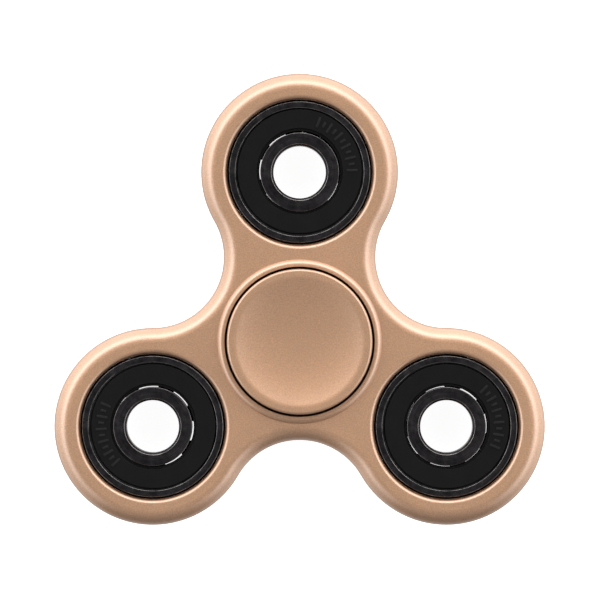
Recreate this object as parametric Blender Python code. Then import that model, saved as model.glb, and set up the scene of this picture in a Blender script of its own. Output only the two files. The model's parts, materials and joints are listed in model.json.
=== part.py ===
"""A tri-lobe fidget spinner: one plate, four deep-groove ball bearings and two finger caps.

The frame is centred on the spin axis at mid-thickness, +Z along the axis, with lobe A towards +Y.
Sizes are in millimetres and become metres where a mesh is made.
"""

from math import asin, cos, degrees, pi, radians, sin, sqrt

import bmesh
import bpy
from mathutils import Vector

MM = 0.001

# Plate: six tangent arcs whose centres lie on one circle, three convex lobes and three waists.
ARM = 25.8
LOBE_R = 15.0
WAIST_R = ARM - LOBE_R
PLATE_HALF = 4.0
EDGE_R = 2.2
LOBE_ANGLES = {"lobe_a": 90.0, "lobe_b": 210.0, "lobe_c": 330.0}
LOBE_STEPS = 16
WAIST_STEPS = 6
EDGE_STEPS = 3

# Bearing seats in the plate, and the raised collar round the middle one.
SEAT_LIP_R = 11.75
SEAT_LIP_Z = 0.5
COLLAR_MOUTH_R = 11.38
COLLAR_TOP_R = 11.85
COLLAR_FOOT_R = 12.5
COLLAR_RISE = 0.5
PRESS_GAP = 0.05

# Bearing of the common 8 x 22 x 7 mm size.
BORE_R = 4.0
BEARING_R = 11.0
BEARING_HALF = 3.5
RING_CHAMFER = 0.3
PITCH_R = 7.5
BALL_R = 1.984
BALLS = 7
RACE_PLAY = 0.12
RACE_R = BALL_R + RACE_PLAY
SHOULDER_R = 6.0
SHOULDER_CHAMFER = 0.2
LAND_R = 8.85
SEAL_SEAT_R = 9.72
SEAL_SEAT_Z = 2.44
SEAL_LIP_R = 6.16
SEAL_STEP_R = 6.5
SEAL_OUT_R = 9.64
SEAL_FACE_Z = 3.3
SEAL_LIP_Z = 2.95
SEAL_BACK_Z = 2.5
RACE_STEPS = 2
TURN_STEPS = 28

# Pressed cage halves, which meet on flat tabs between the balls.
CAGE_IN_R = 6.75
CAGE_OUT_R = 8.25
CAGE_POCKET_R = 2.14
CAGE_SHEET = 0.25
CAGE_TAB_GAP = 0.02
CAGE_ARC_STEPS = 5

# Finger caps, clamped together through the middle bearing's bore.
CAP_R = 11.05
CAP_LAND_Z = 6.0
CAP_UNDER_Z = 3.9
CAP_BOSS_R = 5.6
CAP_BOSS_GAP = 0.03
CAP_STUB_R = BORE_R - 0.06
CAP_SPLIT_Z = 0.1
CAP_SOCKET_R = 2.5
CAP_POST_R = 2.42
CAP_SOCKET_TOP_Z = 3.0
CAP_POST_TOP_Z = 2.6
CAP_POST_CHAMFER = 0.3

# Where the first ball of each bearing stands at rest, in degrees from +X.
BALL_PHASE = {"centre": 12.0, "lobe_a": 150.0, "lobe_b": 70.5, "lobe_c": 81.0}

SHARP_ANGLE = radians(30)


def clear_scene():
    for obj in list(bpy.data.objects):
        bpy.data.objects.remove(obj, do_unlink=True)


def make_material(name, colour, metallic, roughness):
    material = bpy.data.materials.new(name)
    material.use_nodes = True
    shader = material.node_tree.nodes["Principled BSDF"]
    shader.inputs["Base Color"].default_value = (*colour, 1.0)
    shader.inputs["Metallic"].default_value = metallic
    shader.inputs["Roughness"].default_value = roughness
    return material


def make_axis(name, location, parent=None):
    """An empty on a joint's axis."""
    axis = bpy.data.objects.new(name, None)
    axis.location = location
    axis.parent = parent
    bpy.context.scene.collection.objects.link(axis)
    return axis


def make_mesh(name, bm):
    """Closes the work on bm: outward normals, smooth faces with sharp edges."""
    bmesh.ops.recalc_face_normals(bm, faces=bm.faces)
    mesh = bpy.data.meshes.new(name)
    bm.to_mesh(mesh)
    bm.free()
    mesh.shade_smooth()
    mesh.set_sharp_from_angle(angle=SHARP_ANGLE)
    return mesh


def place(name, mesh, material, parent, location=(0, 0, 0), rotation=(0, 0, 0)):
    obj = bpy.data.objects.new(name, mesh)
    if not mesh.materials:
        mesh.materials.append(material)
    obj.location = location
    obj.rotation_euler = rotation
    obj.parent = parent
    bpy.context.scene.collection.objects.link(obj)
    return obj


def turned(name, profile, closed):
    """A mesh turned about Z from (radius, z) points in mm. An open profile starts and ends on the axis."""
    bm = bmesh.new()
    verts = [bm.verts.new(Vector((r, 0, z)) * MM) for r, z in profile]
    ends = verts[1:] + verts[:1] if closed else verts[1:]
    edges = [bm.edges.new(pair) for pair in zip(verts, ends, strict=False)]
    bmesh.ops.spin(
        bm, geom=verts + edges, cent=(0, 0, 0), axis=(0, 0, 1), angle=2 * pi,
        steps=TURN_STEPS, use_merge=True,
    )
    bmesh.ops.remove_doubles(bm, verts=bm.verts, dist=0.001 * MM)
    return make_mesh(name, bm)


def mirrored(profile):
    """A profile's points followed by their mirror images below z = 0, the way back."""
    return profile + [(r, -z) for r, z in reversed(profile)]


def race(edge_r, outward):
    """Points of a ball groove's upper half, from its edge towards its floor at z = 0."""
    offset = abs(edge_r - PITCH_R)
    side = 1 if outward else -1
    first = asin(sqrt(RACE_R**2 - offset**2) / RACE_R)
    angles = [first * (1 - step / RACE_STEPS) for step in range(RACE_STEPS)]
    return [(PITCH_R + side * RACE_R * cos(a), RACE_R * sin(a)) for a in angles]


def outer_ring_mesh():
    face = BEARING_HALF
    upper = [
        (BEARING_R, face - RING_CHAMFER),
        (BEARING_R - RING_CHAMFER, face),
        (SEAL_SEAT_R, face),
        (SEAL_SEAT_R, SEAL_SEAT_Z),
        (LAND_R, SEAL_SEAT_Z),
    ]
    groove = race(LAND_R, outward=True)
    floor = [(PITCH_R + RACE_R, 0)]
    lower = [(r, -z) for r, z in reversed(upper + groove)]
    return turned("outer_ring", upper + groove + floor + lower, closed=True)


def inner_ring_mesh():
    face = BEARING_HALF
    upper = [
        (BORE_R, face - RING_CHAMFER),
        (BORE_R + RING_CHAMFER, face),
        (SHOULDER_R - SHOULDER_CHAMFER, face),
        (SHOULDER_R, face - SHOULDER_CHAMFER),
    ]
    groove = race(SHOULDER_R, outward=False)
    floor = [(PITCH_R - RACE_R, 0)]
    lower = [(r, -z) for r, z in reversed(upper + groove)]
    return turned("inner_ring", upper + groove + floor + lower, closed=True)


def seal_mesh():
    """The upper seal: a flat rubber washer with a lowered lip at its inner edge."""
    profile = [
        (SEAL_OUT_R, SEAL_BACK_Z),
        (SEAL_OUT_R, SEAL_FACE_Z),
        (SEAL_STEP_R, SEAL_FACE_Z),
        (SEAL_LIP_R, SEAL_LIP_Z),
        (SEAL_LIP_R, SEAL_BACK_Z),
    ]
    return turned("seal", profile, closed=True)


def ball_mesh():
    bm = bmesh.new()
    bmesh.ops.create_icosphere(bm, subdivisions=2, radius=BALL_R * MM)
    return make_mesh("ball", bm)


def cage_section():
    """One pocket's stations along the sheet, each a lower and an upper (offset along the pitch circle, z)."""
    outer = CAGE_POCKET_R + CAGE_SHEET
    tab_top = CAGE_TAB_GAP + CAGE_SHEET
    foot_in = (sqrt(CAGE_POCKET_R**2 - CAGE_TAB_GAP**2), CAGE_TAB_GAP)
    foot_out = (sqrt(outer**2 - tab_top**2), tab_top)
    stations = [((-foot_in[0], foot_in[1]), (-foot_out[0], foot_out[1]))]
    for step in range(1, CAGE_ARC_STEPS):
        a = pi - pi * step / CAGE_ARC_STEPS
        stations.append(
            ((CAGE_POCKET_R * cos(a), CAGE_POCKET_R * sin(a)), (outer * cos(a), outer * sin(a)))
        )
    stations.append((foot_in, foot_out))
    return stations


def cage_mesh():
    """The upper cage half: a pressed ribbon that arches over each ball and lies flat between them."""
    bm = bmesh.new()
    loops = []
    for pocket in range(BALLS):
        middle = 2 * pi * pocket / BALLS
        for inner, outer in cage_section():
            loop = []
            for radius, (along, z) in (
                (CAGE_IN_R, inner), (CAGE_OUT_R, inner), (CAGE_OUT_R, outer), (CAGE_IN_R, outer),
            ):
                a = middle + asin(along / radius)
                loop.append(bm.verts.new(Vector((radius * cos(a), radius * sin(a), z)) * MM))
            loops.append(loop)
    for here, ahead in zip(loops, loops[1:] + loops[:1], strict=True):
        for k in range(4):
            bm.faces.new((here[k], here[k - 1], ahead[k - 1], ahead[k]))
    return make_mesh("cage", bm)


def cap_profile_top():
    """The cap's outer side from the dish's middle round to its underside, in mm."""
    return [
        (0, CAP_LAND_Z - 1.05),
        (5.0, CAP_LAND_Z - 0.98),
        (8.4, CAP_LAND_Z - 0.7),
        (9.3, CAP_LAND_Z - 0.28),
        (9.95, CAP_LAND_Z),
        (CAP_R - 0.4, CAP_LAND_Z),
        (CAP_R - 0.12, CAP_LAND_Z - 0.12),
        (CAP_R, CAP_LAND_Z - 0.4),
        (CAP_R, CAP_UNDER_Z + 0.2),
        (CAP_R - 0.2, CAP_UNDER_Z),
        (CAP_BOSS_R, CAP_UNDER_Z),
        (CAP_BOSS_R, BEARING_HALF + CAP_BOSS_GAP),
        (CAP_STUB_R, BEARING_HALF + CAP_BOSS_GAP),
    ]


def cap_top_mesh():
    """The cap with a hollow stub that takes the other cap's post."""
    profile = cap_profile_top() + [
        (CAP_STUB_R, CAP_SPLIT_Z),
        (CAP_SOCKET_R, CAP_SPLIT_Z),
        (CAP_SOCKET_R, CAP_SOCKET_TOP_Z),
        (0, CAP_SOCKET_TOP_Z),
    ]
    return turned("cap_top", profile, closed=False)


def cap_bottom_mesh():
    """The cap with a stepped post. It is the outer profile turned over, with the post standing up."""
    outside = [(r, -z) for r, z in cap_profile_top()]
    profile = outside + [
        (CAP_STUB_R, -CAP_SPLIT_Z),
        (CAP_POST_R, -CAP_SPLIT_Z),
        (CAP_POST_R, CAP_POST_TOP_Z - CAP_POST_CHAMFER),
        (CAP_POST_R - CAP_POST_CHAMFER, CAP_POST_TOP_Z),
        (0, CAP_POST_TOP_Z),
    ]
    return turned("cap_bottom", profile, closed=False)


def polar(radius, angle):
    """A point in mm at an angle in degrees."""
    return Vector((radius * cos(radians(angle)), radius * sin(radians(angle)), 0))


def outline(inset):
    """The plate's outline in mm, moved inwards by inset. Lobe and waist arcs keep their centres."""
    points = []
    for middle in LOBE_ANGLES.values():
        lobe, waist = polar(ARM, middle), polar(ARM, middle + 60)
        for step in range(LOBE_STEPS):
            turn = middle - 120 + 240 * step / LOBE_STEPS
            points.append(lobe + polar(LOBE_R - inset, turn))
        for step in range(WAIST_STEPS):
            turn = middle - 60 - 120 * step / WAIST_STEPS
            points.append(waist + polar(WAIST_R + inset, turn))
    return points


def ring_points(centre, radius):
    return [centre + polar(radius, 360 * step / TURN_STEPS) for step in range(TURN_STEPS)]


def add_loop(bm, points, z):
    """A closed loop of vertices at height z, points in mm."""
    return [bm.verts.new((p.x * MM, p.y * MM, z * MM)) for p in points]


def bridge(bm, loops):
    """Walls from each loop to the next."""
    for one, two in zip(loops, loops[1:], strict=False):
        for k in range(len(one)):
            bm.faces.new((one[k - 1], one[k], two[k], two[k - 1]))


def edges_of(bm, loop):
    return [bm.edges.get((loop[k - 1], loop[k])) for k in range(len(loop))]


def plate_mesh():
    """The plate: a filleted rim, four seats turned through it, and its two flat faces filled between them."""
    bm = bmesh.new()
    rim = []
    for step in range(EDGE_STEPS, -1, -1):
        turn = pi / 2 * step / EDGE_STEPS
        rim.append((EDGE_R * (1 - cos(turn)), PLATE_HALF - EDGE_R * (1 - sin(turn))))
    walls = [[add_loop(bm, outline(inset), z) for inset, z in mirrored(rim)]]

    seat_r = BEARING_R + PRESS_GAP
    lobe_seat = [(SEAT_LIP_R, PLATE_HALF), (seat_r + 0.15, PLATE_HALF - 0.2), (seat_r, PLATE_HALF - SEAT_LIP_Z)]
    collar_z = PLATE_HALF + COLLAR_RISE
    middle_seat = [
        (COLLAR_FOOT_R, PLATE_HALF),
        (COLLAR_FOOT_R - 0.1, PLATE_HALF + 0.25),
        (COLLAR_TOP_R, collar_z),
        (COLLAR_MOUTH_R, collar_z),
        (COLLAR_MOUTH_R, BEARING_HALF + 0.1),
        (seat_r, BEARING_HALF + 0.1),
    ]
    for angle in LOBE_ANGLES.values():
        centre = polar(ARM, angle)
        walls.append([add_loop(bm, ring_points(centre, r), z) for r, z in mirrored(lobe_seat)])
    walls.append([add_loop(bm, ring_points(Vector(), r), z) for r, z in mirrored(middle_seat)])
    for loops in walls:
        bridge(bm, loops)
    for end in (0, -1):
        borders = [edge for loops in walls for edge in edges_of(bm, loops[end])]
        bmesh.ops.triangle_fill(bm, use_beauty=True, use_dissolve=False, edges=borders)
    return make_mesh("plate", bm)


def build():
    clear_scene()
    paint = make_material("body_paint", (0.50, 0.32, 0.20), 0.6, 0.38)
    cap_paint = make_material("cap_paint", (0.50, 0.32, 0.20), 0.6, 0.35)
    ring_steel = make_material("ring_steel", (0.03, 0.028, 0.028), 0.9, 0.35)
    ball_steel = make_material("ball_steel", (0.60, 0.60, 0.60), 1.0, 0.12)
    cage_steel = make_material("cage_steel", (0.40, 0.40, 0.41), 1.0, 0.4)
    rubber = make_material("seal_rubber", (0.015, 0.014, 0.015), 0.0, 0.7)

    hub = make_axis("hub_axis", (0, 0, 0))
    rotor = make_axis("rotor_axis", (0, 0, 0), hub)
    place("spinner_body", plate_mesh(), paint, rotor)
    place("cap_top", cap_top_mesh(), cap_paint, hub)
    place("cap_bottom", cap_bottom_mesh(), cap_paint, hub)

    outer_ring, inner_ring, seal = outer_ring_mesh(), inner_ring_mesh(), seal_mesh()
    cage, ball = cage_mesh(), ball_mesh()
    for name, phase in BALL_PHASE.items():
        middle = Vector() if name == "centre" else polar(ARM, LOBE_ANGLES[name]) * MM
        seat = make_axis(f"{name}_seat", middle, rotor)
        spindle = make_axis(f"{name}_axis", middle, hub if name == "centre" else rotor)
        carrier = make_axis(f"{name}_cage_axis", (0, 0, 0), spindle)
        carrier.rotation_euler.z = radians(phase)
        turned_over = (pi, 0, 0)
        place(f"{name}_outer_ring", outer_ring, ring_steel, seat)
        place(f"{name}_seal_upper", seal, rubber, seat)
        place(f"{name}_seal_lower", seal, rubber, seat, rotation=turned_over)
        place(f"{name}_inner_ring", inner_ring, ring_steel, spindle)
        place(f"{name}_cage_upper", cage, cage_steel, carrier)
        place(f"{name}_cage_lower", cage, cage_steel, carrier, rotation=turned_over)
        for number in range(BALLS):
            where = polar(PITCH_R, degrees(2 * pi * number / BALLS)) * MM
            place(f"{name}_ball_{number + 1}", ball, ball_steel, carrier, location=where)


build()
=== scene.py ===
"""The looks of a tri-lobe spinner: satin champagne plate and finger caps, four sealed ball bearings.

Profiles are in millimetres, (radius, height) from the bearing's or the spinner's middle, and become
metres where a mesh is made. Places and overall sizes are read from the CAD frame.
"""

import json
from math import asin, atan2, cos, pi, radians, sin, sqrt, tan

import bmesh
import bpy
from mathutils import Matrix, Vector


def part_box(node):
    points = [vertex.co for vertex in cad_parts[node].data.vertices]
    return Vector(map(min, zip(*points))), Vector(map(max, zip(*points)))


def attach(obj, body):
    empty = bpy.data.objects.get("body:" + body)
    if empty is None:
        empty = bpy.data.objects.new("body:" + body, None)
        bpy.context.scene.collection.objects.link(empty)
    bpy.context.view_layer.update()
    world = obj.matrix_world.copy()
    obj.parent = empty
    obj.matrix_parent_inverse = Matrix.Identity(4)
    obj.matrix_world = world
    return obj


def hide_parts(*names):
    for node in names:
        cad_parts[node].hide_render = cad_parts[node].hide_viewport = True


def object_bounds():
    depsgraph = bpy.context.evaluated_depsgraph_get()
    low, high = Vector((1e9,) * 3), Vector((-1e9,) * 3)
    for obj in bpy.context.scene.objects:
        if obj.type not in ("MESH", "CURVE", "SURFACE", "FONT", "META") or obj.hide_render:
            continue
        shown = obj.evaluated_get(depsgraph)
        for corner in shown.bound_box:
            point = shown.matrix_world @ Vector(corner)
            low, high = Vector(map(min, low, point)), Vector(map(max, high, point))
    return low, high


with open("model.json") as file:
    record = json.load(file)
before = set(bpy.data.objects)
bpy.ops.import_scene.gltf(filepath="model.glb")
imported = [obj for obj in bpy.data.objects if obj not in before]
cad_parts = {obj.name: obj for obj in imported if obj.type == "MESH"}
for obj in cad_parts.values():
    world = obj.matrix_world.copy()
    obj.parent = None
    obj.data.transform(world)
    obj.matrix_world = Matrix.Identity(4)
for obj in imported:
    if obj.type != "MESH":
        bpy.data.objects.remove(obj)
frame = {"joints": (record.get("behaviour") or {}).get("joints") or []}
cad_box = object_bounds()

MM = 0.001

# Sizes read from the CAD frame, in millimetres.
BEARING_NAMES = ("centre", "lobe_a", "lobe_b", "lobe_c")
JOINTS = {joint["name"]: joint for joint in frame["joints"]}
MIDDLES = {name: Vector(JOINTS[f"{name}_cage_orbit"]["pos_m"]) / MM for name in BEARING_NAMES}
ARM = MIDDLES["lobe_a"].length
LOBE_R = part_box("spinner_body")[1].y / MM - ARM
WAIST_R = ARM - LOBE_R
COLLAR_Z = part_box("spinner_body")[1].z / MM
BEARING_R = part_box("centre_outer_ring")[1].x / MM
BEARING_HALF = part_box("centre_outer_ring")[1].z / MM
SHOULDER_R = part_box("centre_inner_ring")[1].x / MM
CAP_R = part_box("cap_top")[1].x / MM
CAP_LAND_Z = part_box("cap_top")[1].z / MM

# Plate.
COLLAR_RISE = 0.5
PLATE_HALF = COLLAR_Z - COLLAR_RISE
EDGE_R = 2.25
EDGE_STEPS = 12
LOBE_STEPS = 96
WAIST_STEPS = 40
SEAT_STEPS = 192
SEAT_GAP = 0.006
SEAT_R = BEARING_R + SEAT_GAP
SEAT_LIP_R = 11.76
SEAT_LIP_ROUND = 0.6
SEAT_RELIEF_R = 11.16
SEAT_RELIEF_Z = 2.6
SEAT_MIDDLE_Z = 0.5
SEAT_TOP_GAP = 0.1
COLLAR_MOUTH_R = 11.4
COLLAR_TOP_R = 11.68
COLLAR_FOOT_R = 12.5
COLLAR_ROLL_STEPS = 10

# Bearings.
BORE_R = 4.0
RING_CHAMFER = 0.3
RING_CHAMFER_DEEP = 0.6
BORE_CHAMFER = 0.33
RING_EDGE_ROUND = 0.07
PITCH_R = 7.5
BALL_R = 1.984
BALLS = 7
RACE_R = 2.06
RACE_STEPS = 16
LAND_R = 8.85
SEAL_SEAT_R = 9.76
SEAL_SEAT_Z = 2.44
SEAL_FACE_Z = 3.3
SEAL_BACK_Z = 2.5
SEAL_OUT_R = 9.6
SEAL_STEP_R = 6.5
SEAL_LIP_R = 6.14
SEAL_LIP_Z = 2.95
RING_STEPS = 160
BALL_SEGMENTS = 32

# Caps.
CAP_UNDER_Z = 3.9
CAP_TAPER_Z = 5.0
CAP_TAPER_R = 10.2
CAP_BOSS_R = 5.6
CAP_STUB_R = BORE_R - 0.06
CAP_SPLIT_Z = 0.1
CAP_SOCKET_R = 2.5
CAP_POST_R = 2.42
CAP_SOCKET_TOP_Z = 3.0
CAP_POST_TOP_Z = 2.6
CAP_EDGE_ROUND = 0.36
DISH_R = 10.2
DISH_STEEP_R = 9.5
DISH_DEPTH = 0.95
DISH_POWER = 2.3
DISH_STEPS = 28
CAP_SHOULDER_GAP = 0.02

# Cage ribbon.
CAGE_IN_R = 6.75
CAGE_OUT_R = 8.25
CAGE_POCKET_R = 2.06
CAGE_SHEET = 0.3
CAGE_TAB_GAP = 0.015
CAGE_ARC_STEPS = 18

# Raised index bars on each seal.
MARK_RADIUS = 7.95
MARK_COUNT = 11
MARK_STEP = 6.8
MARK_LONG = 1.7
MARK_WIDE = 0.42
MARK_RISE = 0.12
MARK_SINK = 0.03
MARK_ROUND = 0.08
MARK_EVERY = 2
MARK_SHORT = 0.55
MARK_MIDDLE = {"centre": 90.0, "lobe_a": 35.0, "lobe_b": 190.0, "lobe_c": 11.0}

# Each seal sits a little to one side in its seat: how far, and towards which angle, upper then lower.
SEAL_DRIFT = {
    "centre": ((0.05, 0.0), (0.05, 180.0)),
    "lobe_a": ((0.12, 80.0), (0.115, 180.0)),
    "lobe_b": ((0.11, 20.0), (0.105, 10.0)),
    "lobe_c": ((0.07, 30.0), (0.055, 355.0)),
}

# Where the first ball of each bearing stands at rest.
BALL_PHASE = {"centre": 12.0, "lobe_a": 150.0, "lobe_b": 70.5, "lobe_c": 81.0}

# Champagne paint, in linear light. Down inside the middle seat, in the slot round the cap, the colour is
# painted near black as shade and the coat is left off.
CHAMPAGNE = (0.64, 0.352, 0.184)
# Painted shade for the slot round the cap inside the middle seat.
SLOT_SHADE_TONE = (0.012, 0.009, 0.007, 1.0)
PAINT_SPREAD = (0.82, 1.18)
PLATE_ROUGHNESS = 0.55
CAP_ROUGHNESS = 0.54
SLOT_SHADE_R = 11.45
SLOT_SHADE_Z = 4.35
SLOT_SHADE_SOFT = 0.3

# Where the blackening wears through on the bearing rings: radius and half width in millimetres.
RING_EDGES = (
    (BORE_R + BORE_CHAMFER, 0.07), (SHOULDER_R, 0.1), (SEAL_SEAT_R, 0.14), (BEARING_R - RING_CHAMFER, 0.07),
)

# Painted shade: the outer ring's chamfer, beside the dark gap at its seat, is painted darker and rougher from
# this radius outwards.
CHAMFER_SHADE_R = BEARING_R - RING_CHAMFER + 0.06
CHAMFER_SHADE_SOFT = 0.06

# Turning lines on ground steel and mould rings on rubber, as noise cells per metre.
TURNING_ACROSS = 9000.0
TURNING_ALONG = 160.0
MOULD_ACROSS = 2600.0

# Tones of the other finishes, in linear light. A pair is a ramp's dark end, then its light end.
STEEL_TONES = ((0.024, 0.022, 0.025), (0.112, 0.104, 0.110))
WORN_TONE = (0.52, 0.50, 0.48, 1.0)
# Painted shade on the outer ring's chamfer.
CHAMFER_SHADE_TONE = (0.006, 0.005, 0.004, 1.0)
BALL_TONES = ((0.52, 0.52, 0.53), (0.66, 0.66, 0.66))
SHEET_TONES = ((0.26, 0.255, 0.25), (0.44, 0.435, 0.43))
RUBBER_TONES = ((0.0020, 0.0018, 0.0019), (0.0054, 0.0048, 0.0050))
# Painted highlight on the seals' raised bars.
MARK_HIGHLIGHT_TONE = (0.014, 0.013, 0.013, 1.0)
FLOOR_TONES = ((0.86, 0.86, 0.86), (0.9, 0.9, 0.9))
FLOOR_GLOW = ((0.98, 0.98, 0.98), (1.0, 1.0, 1.0))

# Studio. The sensor and the camera's step aside are in millimetres, the rest in metres.
FRAME_WIDTH = 0.0912
SENSOR_WIDTH = 36.0
CAMERA_RISE = 1.4
CAMERA_ASIDE = Vector((0.06, -0.11, 0.0))
FLOOR_SIZE = 8.0
FLOOR_GAP = 0.00002

# The light tent. Heights are the upward part of a direction, from -1 to 1.
TENT_EVEN = 0.19
TENT_ABOVE = 0.05
TENT_BEHIND = 1.3
TENT_HIGH = 1.98
TENT_HIGH_FROM = 0.3
TENT_HIGH_SOFT = 0.42
TENT_WRAP = 0.85
TENT_FALL = 0.48
TENT_LOW = -0.79
TENT_LOW_SOFT = 0.27
TENT_TOP = 0.9
TENT_TOP_SOFT = 0.2
TENT_FLOOR = 0.33
TENT_FLOOR_FROM = -0.3
TENT_FLOOR_SOFT = 0.3

# Mesh making: steps in a corner's arc, the guard points beside it, and how near points are welded.
ARC_STEPS = 6
GUARD = 0.05
WELD = 0.0005
SHARP_ANGLE = radians(40)


# ---------------------------------------------------------------- node benches


class Field:
    """An output of a node. Sums and products of fields add their Math nodes."""

    def __init__(self, bench, socket):
        self.bench = bench
        self.socket = socket

    def math(self, operation, first, second=0.0):
        return self.bench.node("ShaderNodeMath", {"operation": operation}, {0: first, 1: second})

    def __add__(self, other):
        return self.math("ADD", self, other)

    __radd__ = __add__

    def __sub__(self, other):
        return self.math("SUBTRACT", self, other)

    def __rsub__(self, other):
        return self.math("SUBTRACT", other, self)

    def __mul__(self, other):
        return self.math("MULTIPLY", self, other)

    __rmul__ = __mul__

    def __truediv__(self, other):
        return self.math("DIVIDE", self, other)

    def __mod__(self, other):
        return self.math("MODULO", self, other)

    def __pow__(self, other):
        return self.math("POWER", self, other)

    def __lt__(self, other):
        return self.math("LESS_THAN", self, other)

    def __abs__(self):
        return self.math("ABSOLUTE", self)


class Bench:
    """A node tree under construction."""

    def __init__(self, tree):
        self.tree = tree

    def node(self, kind, settings=None, sockets=None, out=0):
        """Adds a node. Its settings are set first, then each socket gets a value or a field."""
        node = self.tree.nodes.new(kind)
        for key, value in (settings or {}).items():
            if key == "stops":
                set_stops(node.color_ramp, value)
            else:
                setattr(node, key, value)
        for key, value in (sockets or {}).items():
            self.feed(node.inputs[key], value)
        return Field(self, node.outputs[out])

    def feed(self, socket, value):
        if isinstance(value, Field):
            self.tree.links.new(value.socket, socket)
        else:
            socket.default_value = value

    def outputs(self, field):
        """Every named output of the node that a field comes from."""
        return {socket.name: Field(self, socket) for socket in field.socket.node.outputs if socket.name}

    def split(self, vector):
        """The three parts of a vector, as numbers."""
        return self.outputs(self.node("ShaderNodeSeparateXYZ", sockets={0: vector})).values()

    def limit(self, value):
        """The value kept between 0 and 1."""
        return self.node("ShaderNodeClamp", sockets={"Value": value})

    def fade(self, value, start, soft):
        """0 up to start and 1 once the value is soft past it, which for a negative soft is below it."""
        return self.limit((value - start) * (1 / soft))


def across(x, y):
    """How far fields x and y are from the axis."""
    return (x * x + y * y) ** 0.5


def set_stops(ramp, stops):
    """Sets a ramp's two (position, colour) stops."""
    for element, (position, colour) in zip(ramp.elements, stops, strict=True):
        element.position = position
        element.color = (*colour, 1.0)


class Finish(Bench):
    """A material: one Principled shader whose fixed values are given by socket name."""

    def __init__(self, name, fixed):
        self.material = bpy.data.materials.new(name)
        self.material.use_nodes = True
        super().__init__(self.material.node_tree)
        self.shader = self.tree.nodes["Principled BSDF"]
        for key, value in fixed.items():
            self.shader.inputs[key].default_value = value

    def place(self):
        """Where a point is on the whole object, in metres."""
        return self.node("ShaderNodeTexCoord", out=3)

    def turned(self):
        """Where a point is on a turned piece, measured from the piece's own middle, in metres."""
        return self.node("ShaderNodeAttribute", {"attribute_name": "turned"}, out=1)

    def noise(self, where, scale, detail=2.0, roughness=0.5):
        sockets = {"Vector": where, "Scale": scale, "Detail": detail, "Roughness": roughness}
        return self.node("ShaderNodeTexNoise", sockets=sockets)

    def ramp(self, value, span, tones):
        """The first tone up to the span's start, the second from its end on."""
        stops = tuple(zip(span, tones, strict=True))
        return self.node("ShaderNodeValToRGB", {"stops": stops}, {0: value})

    def blend(self, mask, colour_a, colour_b):
        return self.node("ShaderNodeMix", {"data_type": "RGBA"}, {0: mask, 6: colour_a, 7: colour_b}, out=2)

    def bump(self, height, distance, strength):
        sockets = {"Height": height, "Distance": distance, "Strength": strength}
        return self.node("ShaderNodeBump", sockets=sockets)

    def finish(self, **driven):
        """Links fields to the shader's sockets, named with _ for a space."""
        for key, value in driven.items():
            self.feed(self.shader.inputs[key.replace("_", " ")], value)
        return self.material


# ---------------------------------------------------------------- finishes


def champagne(name, roughness):
    """Satin champagne paint: fine metal flake under a clear coat; deep in the middle seat the coat is left
    off and the colour painted near black as shade.
    """
    paint = Finish(name, {"Metallic": 0.92, "Coat Roughness": 0.27, "Coat IOR": 2.6})
    where = paint.place()
    x, y, z = paint.split(where)
    # Painted shade: inside the middle seat below the collar, the colour goes near black and the coat goes
    # away.
    deep = paint.fade(abs(z), SLOT_SHADE_Z * MM, -SLOT_SHADE_SOFT * MM)
    slot_shade = deep * (across(x, y) < SLOT_SHADE_R * MM)
    flake = paint.noise(where, scale=5200.0, roughness=0.6)
    speckle = paint.node("ShaderNodeTexVoronoi", sockets={"Vector": where, "Scale": 4200.0})
    cloud = paint.noise(where, scale=70.0, detail=3.0)
    satin = paint.noise(where, scale=900.0)
    tones = [tuple(part * c for c in CHAMPAGNE) for part in PAINT_SPREAD]
    colour = paint.ramp(flake * 0.75 + cloud * 0.25, (0.32, 0.68), tones)
    return paint.finish(
        Base_Color=paint.blend(slot_shade, colour, SLOT_SHADE_TONE),
        Roughness=satin * 0.1 + (roughness - 0.05),
        Coat_Weight=(cloud * 0.1 + 0.93) * (1 - slot_shade),
        Normal=paint.bump(flake + speckle * 0.4, distance=0.012 * MM, strength=0.35),
    )


def ground_steel(name, edges):
    """Blackened ground steel: fine turning lines about the piece's own axis, worn bright at its edges, and
    painted shade on the outer chamfer.
    """
    steel = Finish(name, {"Metallic": 1.0})
    turned = steel.turned()
    x, y, z = steel.split(turned)
    radius = across(x, y)
    swirl = steel.node(
        "ShaderNodeCombineXYZ",
        sockets={0: radius * TURNING_ACROSS, 1: z * TURNING_ACROSS, 2: x * TURNING_ALONG},
    )
    lines = steel.noise(swirl, scale=1.0, detail=3.0, roughness=0.65)
    blotch = steel.noise(turned, scale=700.0, detail=4.0, roughness=0.6)
    nicks = steel.noise(turned, scale=420.0, detail=3.0, roughness=0.7)
    worn = 0.0
    for edge, width in edges:
        worn = steel.limit(1 - abs(radius - edge * MM) * (1 / (width * MM))) + worn
    worn = steel.limit(worn * (nicks * 2.6 - 0.75))
    black = steel.ramp(lines * 0.45 + blotch * 0.55, (0.34, 0.70), STEEL_TONES)
    # Painted shade: the outer chamfer beside the seat's gap is darkened and roughened.
    rim = steel.fade(radius, CHAMFER_SHADE_R * MM, CHAMFER_SHADE_SOFT * MM)
    return steel.finish(
        Base_Color=steel.blend(rim, steel.blend(worn, black, WORN_TONE), CHAMFER_SHADE_TONE),
        Roughness=blotch * 0.2 + 0.16 + rim * 0.4,
        Normal=steel.bump(lines, distance=0.01 * MM, strength=0.5),
    )


def polished_steel(name):
    """Ball steel with faint polishing haze."""
    steel = Finish(name, {"Metallic": 1.0})
    haze = steel.noise(steel.place(), scale=1600.0, detail=4.0, roughness=0.6)
    return steel.finish(
        Base_Color=steel.ramp(haze, (0.3, 0.7), BALL_TONES),
        Roughness=haze * 0.14 + 0.05,
        Normal=steel.bump(haze, distance=0.003 * MM, strength=0.3),
    )


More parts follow.
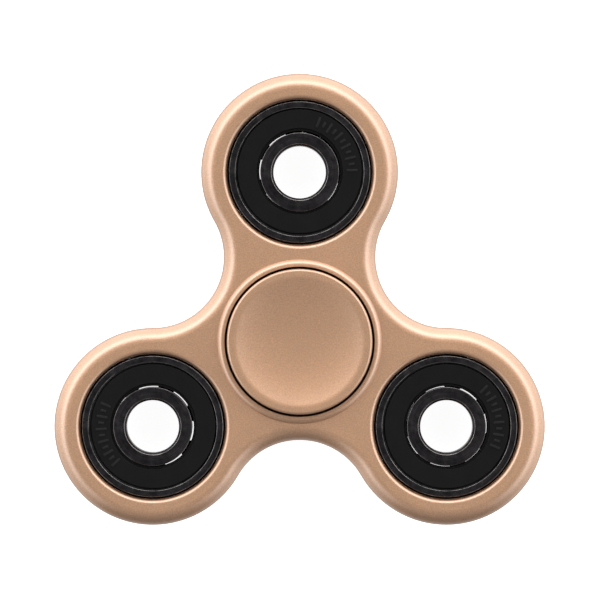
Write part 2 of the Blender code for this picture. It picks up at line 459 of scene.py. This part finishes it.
def pressed_steel(name):
    """Cage sheet, dull from the press and lightly oiled."""
    sheet = Finish(name, {"Metallic": 0.95})
    where = sheet.place()
    drag = sheet.noise(where, scale=2400.0, detail=4.0, roughness=0.65)
    stain = sheet.noise(where, scale=420.0)
    return sheet.finish(
        Base_Color=sheet.ramp(drag * 0.6 + stain * 0.4, (0.3, 0.7), SHEET_TONES),
        Roughness=stain * 0.2 + 0.32,
        Normal=sheet.bump(drag, distance=0.008 * MM, strength=0.5),
    )


def moulded_rubber(name):
    """Black seal rubber with a fine pebbled skin and soft mould rings; the raised bars are painted a little
    greyer as a painted highlight.
    """
    rubber = Finish(name, {"Metallic": 0.0, "Specular IOR Level": 0.17})
    turned = rubber.turned()
    x, y, z = rubber.split(turned)
    # Painted highlight: the tops of the raised bars are lighter grey.
    raised = rubber.fade(z, SEAL_FACE_Z * MM, MARK_RISE * MM)
    along = rubber.node("ShaderNodeCombineXYZ", sockets={0: across(x, y) * MOULD_ACROSS})
    rings = rubber.noise(along, scale=1.0)
    pebble = rubber.noise(turned, scale=3600.0, detail=4.0, roughness=0.7)
    dust = rubber.noise(turned, scale=330.0, detail=3.0)
    skin = rubber.ramp(pebble * 0.5 + dust * 0.5, (0.32, 0.72), RUBBER_TONES)
    return rubber.finish(
        Base_Color=rubber.blend(raised, skin, MARK_HIGHLIGHT_TONE),
        Roughness=pebble * 0.16 + 0.44,
        Normal=rubber.bump(pebble * 0.6 + rings * 0.4, distance=0.02 * MM, strength=0.4),
    )


def pale_floor():
    """A bright, even tabletop."""
    cloth = Finish("studio_floor", {"Roughness": 0.9, "Emission Strength": 0.9})
    tone = cloth.noise(cloth.place(), scale=3.0)
    return cloth.finish(
        Base_Color=cloth.ramp(tone, (0.3, 0.7), FLOOR_TONES),
        Emission_Color=cloth.ramp(tone, (0.3, 0.7), FLOOR_GLOW),
    )


# ---------------------------------------------------------------- shape tools


def rounded(corners):
    """A path through (x, y, radius) corners, each rounded by an arc with a guard point at either end."""
    path = []
    for i, (x, y, radius) in enumerate(corners):
        here = Vector((x, y))
        if not radius:
            path.append(here)
            continue
        before = (Vector(corners[i - 1][:2]) - here).normalized()
        after = (Vector(corners[(i + 1) % len(corners)][:2]) - here).normalized()
        half = before.angle(after) / 2
        reach = radius / tan(half)
        middle = here + (before + after).normalized() * radius / sin(half)
        first, last = here + before * reach - middle, here + after * reach - middle
        start = atan2(first.y, first.x)
        turn = (atan2(last.y, last.x) - start + pi) % (2 * pi) - pi
        path.append(middle + first + before * GUARD)
        for step in range(ARC_STEPS + 1):
            a = start + turn * step / ARC_STEPS
            path.append(middle + radius * Vector((cos(a), sin(a))))
        path.append(middle + last + after * GUARD)
    return [(p.x, p.y) for p in path]


def mirrored(corners):
    """Corners above the middle plane, then their mirror images below it on the way back."""
    return corners + [(corner[0], -corner[1], *corner[2:]) for corner in reversed(corners)]


def close_mesh(name, bm):
    bmesh.ops.remove_doubles(bm, verts=bm.verts, dist=WELD * MM)
    bmesh.ops.recalc_face_normals(bm, faces=bm.faces)
    mesh = bpy.data.meshes.new(name)
    bm.to_mesh(mesh)
    bm.free()
    smooth(mesh)
    return mesh


def smooth(mesh):
    mesh.shade_smooth()
    mesh.set_sharp_from_angle(angle=SHARP_ANGLE)


def keep_turned(mesh):
    """Stores each point's place about the piece's own axis, for finishes that follow the turning."""
    places = [c for vertex in mesh.vertices for c in vertex.co]
    layer = mesh.attributes.new("turned", "FLOAT_VECTOR", "POINT")
    layer.data.foreach_set("vector", places)


def lathe(name, profile, closed=True):
    """A mesh turned about Z from (radius, height) points. An open profile starts and ends on the axis."""
    bm = bmesh.new()
    verts = [bm.verts.new(Vector((r, 0, z)) * MM) for r, z in profile]
    ends = verts[1:] + verts[:1] if closed else verts[1:]
    edges = [bm.edges.new(pair) for pair in zip(verts, ends, strict=False)]
    bmesh.ops.spin(
        bm, geom=verts + edges, cent=(0, 0, 0), axis=(0, 0, 1), angle=2 * pi, steps=RING_STEPS, use_merge=True
    )
    mesh = close_mesh(name, bm)
    keep_turned(mesh)
    return mesh


def piece(name, mesh, material, body, nodes, at=None, over=False):
    """Puts a mesh at its place, turned over if asked, gives it the material if it has none, hangs it under
    its body's empty and hides the CAD nodes it stands for.
    """
    if over:
        mesh.transform(Matrix.Rotation(pi, 4, "X"))
    if at is not None:
        mesh.transform(Matrix.Translation(at * MM))
    if not mesh.materials:
        mesh.materials.append(material)
    obj = bpy.data.objects.new(name, mesh)
    bpy.context.scene.collection.objects.link(obj)
    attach(obj, body)
    if nodes:
        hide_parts(*nodes)
    return obj


def polar(radius, angle):
    """A point in mm at an angle in degrees."""
    return Vector((radius * cos(radians(angle)), radius * sin(radians(angle)), 0))


# ---------------------------------------------------------------- repeats


def ring_tree():
    """Copies of the host's mesh on an arc about the axis, turned with it, some of them shortened."""
    tree = bpy.data.node_groups.new("ring_of_copies", "GeometryNodeTree")
    interface = tree.interface
    interface.new_socket("Geometry", in_out="INPUT", socket_type="NodeSocketGeometry")
    names = (
        ("Count", "Int"), ("Radius", "Float"), ("First Angle", "Float"), ("Step Angle", "Float"),
        ("Long Every", "Int"), ("Short Scale", "Float"), ("Middle", "Vector"), ("Finish", "Material"),
    )
    for name, kind in names:
        interface.new_socket(name, in_out="INPUT", socket_type=f"NodeSocket{kind}")
    interface.new_socket("Geometry", in_out="OUTPUT", socket_type="NodeSocketGeometry")
    bench = Bench(tree)
    given = bench.outputs(bench.node("NodeGroupInput"))
    number = bench.node("GeometryNodeInputIndex")
    angle = given["First Angle"] + number * given["Step Angle"]
    cosine = bench.node("ShaderNodeMath", {"operation": "COSINE"}, {0: angle})
    sine = bench.node("ShaderNodeMath", {"operation": "SINE"}, {0: angle})
    where = bench.node(
        "ShaderNodeCombineXYZ", sockets={0: cosine * given["Radius"], 1: sine * given["Radius"]}
    )
    turn = bench.node("ShaderNodeCombineXYZ", sockets={2: angle})
    is_long = (number % given["Long Every"]) < 0.5
    length = given["Short Scale"] + is_long * (1 - given["Short Scale"])
    size = bench.node("ShaderNodeCombineXYZ", sockets={0: length, 1: 1.0, 2: 1.0})
    points = bench.node("GeometryNodePoints", sockets={"Count": given["Count"], "Position": where})
    copies = bench.node(
        "GeometryNodeInstanceOnPoints",
        sockets={"Points": points, "Instance": given["Geometry"], "Rotation": turn, "Scale": size},
    )
    real = bench.node("GeometryNodeRealizeInstances", sockets={"Geometry": copies})
    merged = bench.node("GeometryNodeMergeByDistance", sockets={"Geometry": real, "Distance": 2 * WELD * MM})
    moved = bench.node("GeometryNodeTransform", sockets={"Geometry": merged, "Translation": given["Middle"]})
    done = bench.node("GeometryNodeSetMaterial", sockets={"Geometry": moved, "Material": given["Finish"]})
    result = tree.nodes.new("NodeGroupOutput")
    bench.feed(result.inputs[0], done)
    return tree


def ring_of(tree, host_mesh, values):
    """The plain mesh that the tree makes of host_mesh with these named inputs."""
    host = bpy.data.objects.new("host", host_mesh)
    bpy.context.scene.collection.objects.link(host)
    modifier = host.modifiers.new("ring", "NODES")
    modifier.node_group = tree
    for item in tree.interface.items_tree:
        if item.item_type == "SOCKET" and item.in_out == "INPUT" and item.name in values:
            modifier[item.identifier] = values[item.name]
    view = bpy.context.evaluated_depsgraph_get()
    mesh = bpy.data.meshes.new_from_object(host.evaluated_get(view))
    bpy.data.objects.remove(host)
    return mesh


# ---------------------------------------------------------------- plate


def outline(inset):
    """The plate's outline, moved inwards by inset. Lobe and waist arcs keep their centres."""
    points = []
    for name in BEARING_NAMES[1:]:
        lobe = MIDDLES[name]
        middle = atan2(lobe.y, lobe.x) / radians(1)
        waist = polar(ARM, middle + 60)
        for step in range(LOBE_STEPS):
            points.append(lobe + polar(LOBE_R - inset, middle - 120 + 240 * step / LOBE_STEPS))
        for step in range(WAIST_STEPS):
            points.append(waist + polar(WAIST_R + inset, middle - 60 - 120 * step / WAIST_STEPS))
    return points


def circle(middle, radius):
    return [middle + polar(radius, 360 * step / SEAT_STEPS) for step in range(SEAT_STEPS)]


def wall(bm, shape, levels):
    """Walls between loops of shape(size) at each (size, height) level. Returns the first and last loops."""
    loops = [[bm.verts.new((p.x * MM, p.y * MM, z * MM)) for p in shape(size)] for size, z in levels]
    for one, two in zip(loops, loops[1:], strict=False):
        for k in range(len(one)):
            bm.faces.new((one[k - 1], one[k], two[k], two[k - 1]))
    return loops[0], loops[-1]


def rim_levels():
    """The filleted rim from the upper face to the middle plane, as (inset, height)."""
    levels = [(EDGE_R + GUARD, PLATE_HALF)]
    for step in range(EDGE_STEPS, -1, -1):
        a = pi / 2 * step / EDGE_STEPS
        levels.append((EDGE_R * (1 - cos(a)), PLATE_HALF - EDGE_R * (1 - sin(a))))
    levels.append((0, PLATE_HALF - EDGE_R - GUARD))
    return levels


def lobe_seat():
    """A lobe's seat: a softly rounded lip and a plain bore."""
    corners = [
        (SEAT_LIP_R + 2 * GUARD, PLATE_HALF, 0),
        (SEAT_RELIEF_R, PLATE_HALF, SEAT_LIP_ROUND),
        (SEAT_RELIEF_R, SEAT_RELIEF_Z, 0.04),
        (SEAT_R, SEAT_RELIEF_Z, 0.04),
        (SEAT_R, SEAT_MIDDLE_Z, 0),
    ]
    return rounded(corners)


def middle_seat():
    """The middle seat with the raised collar round its mouth."""
    wide = COLLAR_FOOT_R - COLLAR_TOP_R
    lean = 2 * atan2(COLLAR_RISE, wide)
    roll_r = wide / sin(lean)
    corners = [(COLLAR_FOOT_R + 2 * GUARD, PLATE_HALF, 0)]
    for step in range(COLLAR_ROLL_STEPS, -1, -1):
        a = lean * step / COLLAR_ROLL_STEPS
        corners.append((COLLAR_TOP_R + roll_r * sin(a), COLLAR_Z - roll_r * (1 - cos(a)), 0))
    corners += [
        (COLLAR_MOUTH_R, COLLAR_Z, 0.06),
        (COLLAR_MOUTH_R, BEARING_HALF + SEAT_TOP_GAP, 0.05),
        (SEAT_R, BEARING_HALF + SEAT_TOP_GAP, 0.05),
        (SEAT_R, SEAT_MIDDLE_Z, 0),
    ]
    return rounded(corners)


def plate_mesh():
    bm = bmesh.new()
    loops = [wall(bm, outline, mirrored(rim_levels()))]
    for name in BEARING_NAMES[1:]:
        loops.append(wall(bm, lambda r, at=MIDDLES[name]: circle(at, r), mirrored(lobe_seat())))
    loops.append(wall(bm, lambda r: circle(Vector(), r), mirrored(middle_seat())))
    for end in (0, 1):
        borders = [
            bm.edges.get((pair[end][k - 1], pair[end][k]))
            for pair in loops
            for k in range(len(pair[end]))
        ]
        bmesh.ops.triangle_fill(bm, use_beauty=True, use_dissolve=False, edges=borders)
    return close_mesh("plate", bm)


# ---------------------------------------------------------------- caps


def dish():
    """The finger dish, middle to rim: a bowl that steepens outwards, then rolls over to the land."""
    slope = DISH_DEPTH * DISH_POWER / DISH_STEEP_R
    roll = (DISH_R - DISH_STEEP_R) * slope / 2
    path = []
    for step in range(DISH_STEPS + 1):
        r = DISH_STEEP_R * step / DISH_STEPS
        path.append((r, CAP_LAND_Z - roll - DISH_DEPTH * (1 - (r / DISH_STEEP_R) ** DISH_POWER)))
    for step in range(1, ARC_STEPS + 1):
        part = step / ARC_STEPS
        path.append((
            DISH_STEEP_R + (DISH_R - DISH_STEEP_R) * part,
            CAP_LAND_Z - roll * (1 - part) ** 2,
        ))
    return path


def cap_outside():
    """A cap's outside from its land, round the rim and in beneath it, to the stub in the bore."""
    return [
        (DISH_R + GUARD, CAP_LAND_Z, 0),
        (CAP_R, CAP_LAND_Z, CAP_EDGE_ROUND),
        (CAP_R, CAP_TAPER_Z, 0.1),
        (CAP_TAPER_R, CAP_UNDER_Z, 0.15),
        (CAP_BOSS_R, CAP_UNDER_Z, 0.12),
        (CAP_BOSS_R, BEARING_HALF + CAP_SHOULDER_GAP, 0.08),
        (CAP_STUB_R, BEARING_HALF + CAP_SHOULDER_GAP, 0.1),
    ]


def cap_top_mesh():
    inside = [
        (CAP_STUB_R, CAP_SPLIT_Z, 0.15),
        (CAP_SOCKET_R, CAP_SPLIT_Z, 0.2),
        (CAP_SOCKET_R, CAP_SOCKET_TOP_Z, 0.2),
        (0, CAP_SOCKET_TOP_Z, 0),
    ]
    return lathe("cap_top", dish() + rounded(cap_outside() + inside), closed=False)


def cap_bottom_mesh():
    """Made the same way up as the top cap, with its post pointing down, so that it is turned over after."""
    inside = [
        (CAP_STUB_R, CAP_SPLIT_Z, 0.15),
        (CAP_POST_R, CAP_SPLIT_Z, 0.1),
        (CAP_POST_R, -CAP_POST_TOP_Z, 0.3),
        (0, -CAP_POST_TOP_Z, 0),
    ]
    return lathe("cap_bottom", dish() + rounded(cap_outside() + inside), closed=False)


# ---------------------------------------------------------------- bearings


def groove(edge_r):
    """The upper half of a ball groove as corners, from its edge at edge_r to its floor."""
    side = 1 if edge_r > PITCH_R else -1
    first = asin(sqrt(RACE_R**2 - (edge_r - PITCH_R) ** 2) / RACE_R)
    angles = [first * (1 - step / RACE_STEPS) for step in range(RACE_STEPS)]
    return [(PITCH_R + side * RACE_R * cos(a), RACE_R * sin(a), 0) for a in angles]


def ring_profile(upper, edge_r):
    """A ring's closed profile from its upper corners and the groove that starts at edge_r."""
    side = 1 if edge_r > PITCH_R else -1
    upper = upper + groove(edge_r)
    floor = [(PITCH_R + side * RACE_R, 0, 0)]
    lower = [(r, -z, radius) for r, z, radius in reversed(upper)]
    return rounded(upper + floor + lower)


def outer_race_mesh():
    upper = [
        (BEARING_R, BEARING_HALF - RING_CHAMFER_DEEP, RING_EDGE_ROUND),
        (BEARING_R - RING_CHAMFER, BEARING_HALF, RING_EDGE_ROUND),
        (SEAL_SEAT_R, BEARING_HALF, RING_EDGE_ROUND),
        (SEAL_SEAT_R, SEAL_SEAT_Z, 0.08),
        (LAND_R, SEAL_SEAT_Z, 0.1),
    ]
    return lathe("outer_race", ring_profile(upper, LAND_R))


def inner_race_mesh():
    upper = [
        (BORE_R, BEARING_HALF - BORE_CHAMFER, RING_EDGE_ROUND),
        (BORE_R + BORE_CHAMFER, BEARING_HALF, RING_EDGE_ROUND),
        (SHOULDER_R, BEARING_HALF, 0.1),
    ]
    return lathe("inner_race", ring_profile(upper, SHOULDER_R))


def seal_mesh():
    """The upper seal: a moulded washer with a rolled outer bead and a lowered inner lip."""
    corners = [
        (SEAL_OUT_R - 0.1, SEAL_BACK_Z, 0.06),
        (SEAL_OUT_R, SEAL_LIP_Z, 0.1),
        (SEAL_OUT_R - 0.2, SEAL_FACE_Z, 0.1),
        (SEAL_STEP_R + 0.06, SEAL_FACE_Z, 0.08),
        (SEAL_STEP_R - 0.06, SEAL_LIP_Z + 0.05, 0.06),
        (SEAL_LIP_R, SEAL_LIP_Z, 0.05),
        (SEAL_LIP_R, SEAL_BACK_Z, 0.05),
    ]
    return lathe("seal", rounded(corners))


def pocket_mesh():
    """One pocket of the upper cage half with half a tab on either side, about the +X direction."""
    outer = CAGE_POCKET_R + CAGE_SHEET
    tab_top = CAGE_TAB_GAP + CAGE_SHEET
    foot_in = sqrt(CAGE_POCKET_R**2 - CAGE_TAB_GAP**2)
    foot_out = sqrt(outer**2 - tab_top**2)
    stations = []
    for step in range(CAGE_ARC_STEPS + 1):
        a = pi - pi * step / CAGE_ARC_STEPS
        side = -1 if a > pi / 2 else 1
        low = (CAGE_POCKET_R * cos(a), CAGE_POCKET_R * sin(a))
        high = (outer * cos(a), outer * sin(a))
        if low[1] < CAGE_TAB_GAP:
            low = (side * foot_in, CAGE_TAB_GAP)
        if high[1] < tab_top:
            high = (side * foot_out, tab_top)
        stations.append((low, high))
    bm = bmesh.new()
    loops = []
    for low, high in stations:
        corners = ((CAGE_IN_R, low), (CAGE_OUT_R, low), (CAGE_OUT_R, high), (CAGE_IN_R, high))
        loops.append([polar_vert(bm, radius, asin(along / radius), z) for radius, (along, z) in corners])
    for side, at in ((-1, 0), (1, len(loops))):
        corners = (
            (CAGE_IN_R, CAGE_TAB_GAP), (CAGE_OUT_R, CAGE_TAB_GAP),
            (CAGE_OUT_R, tab_top), (CAGE_IN_R, tab_top),
        )
        loops.insert(at, [polar_vert(bm, radius, side * pi / BALLS, z) for radius, z in corners])
    for here, ahead in zip(loops, loops[1:], strict=False):
        for k in range(4):
            bm.faces.new((here[k], here[k - 1], ahead[k - 1], ahead[k]))
    mesh = bpy.data.meshes.new("pocket")
    bm.to_mesh(mesh)
    bm.free()
    return mesh


def polar_vert(bm, radius, angle, z):
    return bm.verts.new(Vector((radius * cos(angle), radius * sin(angle), z)) * MM)


def ball_mesh():
    bm = bmesh.new()
    bmesh.ops.create_uvsphere(bm, u_segments=BALL_SEGMENTS, v_segments=BALL_SEGMENTS // 2, radius=BALL_R * MM)
    return close_mesh("ball", bm)


def mark_mesh():
    """One raised index bar with softened edges, its length along X."""
    bm = bmesh.new()
    bmesh.ops.create_cube(bm, size=1.0)
    bmesh.ops.scale(bm, vec=Vector((MARK_LONG, MARK_WIDE, MARK_RISE + MARK_SINK)) * MM, verts=bm.verts)
    top = [edge for edge in bm.edges if all(v.co.z > 0 for v in edge.verts)]
    upright = [edge for edge in bm.edges if abs(edge.verts[0].co.z - edge.verts[1].co.z) > WELD * MM]
    bmesh.ops.bevel(bm, geom=top + upright, offset=MARK_ROUND * MM, segments=3, profile=0.5, affect="EDGES")
    return close_mesh("mark", bm)


def add_bearing(name, finishes, copies, hosts):
    """One bearing's pieces. Its inner race rides the hub in the middle and its own spindle in a lobe."""
    at = MIDDLES[name]
    spindle = "hub" if name == "centre" else f"{name}_spindle"
    ring, rubber, ball, sheet = (finishes[k] for k in ("ring", "rubber", "ball", "sheet"))
    phase = radians(BALL_PHASE[name])
    piece(f"{name}_outer_race", outer_race_mesh(), ring, "rotor", [f"{name}_outer_ring"], at)
    piece(f"{name}_inner_race", inner_race_mesh(), ring, spindle, [f"{name}_inner_ring"], at)
    around = {"Step Angle": 2 * pi / BALLS, "Long Every": 1, "Short Scale": 1.0}
    for number in range(BALLS):
        sphere = ring_of(copies, hosts["ball"], around | {
            "Count": 1, "Radius": PITCH_R * MM, "First Angle": phase + number * 2 * pi / BALLS,
            "Middle": at * MM, "Finish": ball,
        })
        rolling = f"{name}_ball_{number + 1}"
        piece(f"{name}_steel_ball_{number + 1}", sphere, ball, rolling, [rolling])
    for level, over in (("upper", False), ("lower", True)):
        seal_at = at + polar(*SEAL_DRIFT[name][over])
        piece(
            f"{name}_seal_ring_{level}", seal_mesh(), rubber, "rotor",
            [f"{name}_seal_{level}"], seal_at, over,
        )
        marks = ring_of(copies, hosts["mark"], {
            "Count": MARK_COUNT, "Radius": MARK_RADIUS * MM, "Step Angle": -radians(MARK_STEP),
            "First Angle": radians(MARK_MIDDLE[name] + MARK_STEP * (MARK_COUNT - 1) / 2),
            "Long Every": MARK_EVERY, "Short Scale": MARK_SHORT,
            "Middle": Vector((0, 0, SEAL_FACE_Z + (MARK_RISE - MARK_SINK) / 2)) * MM, "Finish": rubber,
        })
        smooth(marks)
        keep_turned(marks)
        piece(f"{name}_seal_marks_{level}", marks, rubber, "rotor", [], seal_at, over)
        ribbon = ring_of(copies, hosts["pocket"], around | {
            "Count": BALLS, "Radius": 0.0, "First Angle": -phase if over else phase,
            "Middle": Vector(), "Finish": sheet,
        })
        smooth(ribbon)
        piece(
            f"{name}_cage_ribbon_{level}", ribbon, sheet, f"{name}_cage",
            [f"{name}_cage_{level}"], at, over,
        )


def build_spinner():
    paint = champagne("body_paint", PLATE_ROUGHNESS)
    cap_paint = champagne("cap_paint", CAP_ROUGHNESS)
    finishes = {
        "ring": ground_steel("ring_steel", RING_EDGES),
        "rubber": moulded_rubber("seal_rubber"),
        "ball": polished_steel("ball_steel"),
        "sheet": pressed_steel("cage_steel"),
    }
    piece("plate", plate_mesh(), paint, "rotor", ["spinner_body"])
    piece("finger_cap_top", cap_top_mesh(), cap_paint, "hub", ["cap_top"])
    piece("finger_cap_bottom", cap_bottom_mesh(), cap_paint, "hub", ["cap_bottom"], over=True)
    copies = ring_tree()
    hosts = {"ball": ball_mesh(), "mark": mark_mesh(), "pocket": pocket_mesh()}
    for name in BEARING_NAMES:
        add_bearing(name, finishes, copies, hosts)


# ---------------------------------------------------------------- studio


def add_floor(low):
    bm = bmesh.new()
    bmesh.ops.create_grid(bm, x_segments=1, y_segments=1, size=FLOOR_SIZE / 2)
    mesh = bpy.data.meshes.new("floor")
    bm.to_mesh(mesh)
    bm.free()
    mesh.materials.append(pale_floor())
    floor = bpy.data.objects.new("floor", mesh)
    floor.location.z = low - FLOOR_GAP
    floor.visible_glossy = False
    floor.visible_diffuse = False
    bpy.context.scene.collection.objects.link(floor)


def add_world():
    """A white tent lit from behind: bright behind and to the sides, dim in front and straight above."""
    world = bpy.data.worlds.new("studio")
    world.use_nodes = True
    bench = Bench(world.node_tree)
    x, y, z = bench.split(bench.node("ShaderNodeTexCoord"))
    # The tiny part keeps straight up and straight down from dividing by nought.
    level = (x * x + y * y + 1e-6) ** 0.5
    behind = bench.fade(y / level, -TENT_WRAP, 1 + TENT_WRAP) ** TENT_FALL
    rise = bench.fade(z, TENT_LOW, TENT_LOW_SOFT) * bench.fade(z, TENT_TOP, -TENT_TOP_SOFT)
    high = bench.fade(z, TENT_HIGH_FROM, TENT_HIGH_SOFT)
    glow = TENT_EVEN + bench.limit(z) * TENT_ABOVE + behind * rise * (TENT_BEHIND + high * TENT_HIGH)
    glow = glow + bench.fade(z, TENT_FLOOR_FROM, -TENT_FLOOR_SOFT) * TENT_FLOOR
    # The camera itself sees plain white.
    seen = bench.node("ShaderNodeLightPath")
    background = bench.tree.nodes["Background"]
    bench.feed(background.inputs["Color"], (1.0, 1.0, 1.0, 1.0))
    bench.feed(background.inputs["Strength"], seen + (1 - seen) * glow)
    bpy.context.scene.world = world


def add_camera(middle):
    data = bpy.data.cameras.new("camera")
    data.sensor_width = SENSOR_WIDTH
    data.lens = SENSOR_WIDTH * CAMERA_RISE / FRAME_WIDTH
    camera = bpy.data.objects.new("camera", data)
    camera.location = middle + CAMERA_ASIDE * MM
    camera.location.z = PLATE_HALF * MM + CAMERA_RISE
    bpy.context.scene.collection.objects.link(camera)
    bpy.context.scene.camera = camera


def build_studio():
    low, high = cad_box
    middle = (low + high) / 2
    add_floor(low.z)
    add_camera(middle)
    add_world()
    bpy.context.scene.view_settings.view_transform = "Standard"


build_spinner()
build_studio()
